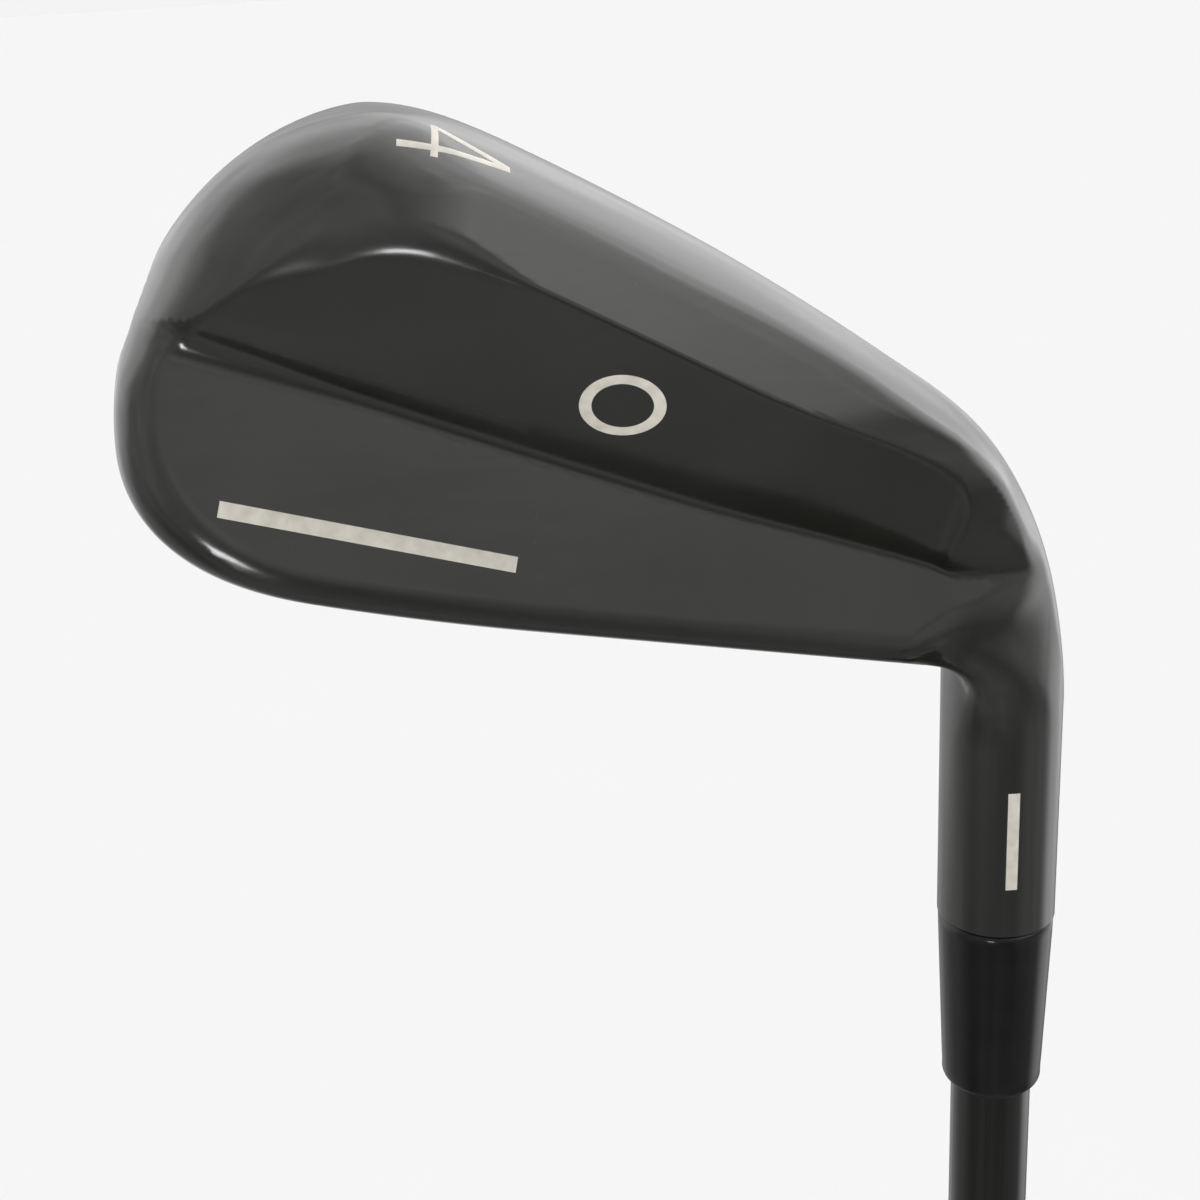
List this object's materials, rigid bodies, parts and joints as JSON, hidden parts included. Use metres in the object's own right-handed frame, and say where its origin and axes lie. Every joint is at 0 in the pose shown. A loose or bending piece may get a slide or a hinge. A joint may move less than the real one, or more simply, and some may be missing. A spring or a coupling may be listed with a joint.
{
  "type": "iron golf club",
  "caption": "Right-handed hollow-body iron with a black head, a stepped muscle back, a graphite shaft and a rubber grip.",
  "frame": {"origin": "centre of the grip's butt end, on the shaft axis", "axes": "+Z along the shaft from the butt end to the head, +Y towards the target when the club is soled, and the toe towards -X"},
  "size_m": [0.1027, 0.0359, 1.0225],
  "materials": {
    "head_body": "gloss black coating over cast steel",
    "face_plate": "dark satin, finely milled",
    "tungsten_weight": "bare sintered tungsten",
    "tip_weight": "turned brass",
    "ferrule": "polished black",
    "shaft": "clear-lacquered graphite composite",
    "grip_tape": "creped double-sided tape",
    "grip_sleeve": "matte moulded rubber",
    "grip_cap": "matte moulded rubber"
  },
  "bodies": {
    "root": {"head_body": "head_body", "face_plate": "face_plate", "tungsten_weight": "tungsten_weight", "tip_weight": "tip_weight", "ferrule": "ferrule", "shaft": "shaft", "grip_tape": "grip_tape", "grip_sleeve": "grip_sleeve", "grip_cap": "grip_cap"}
  },
  "joints": []
}
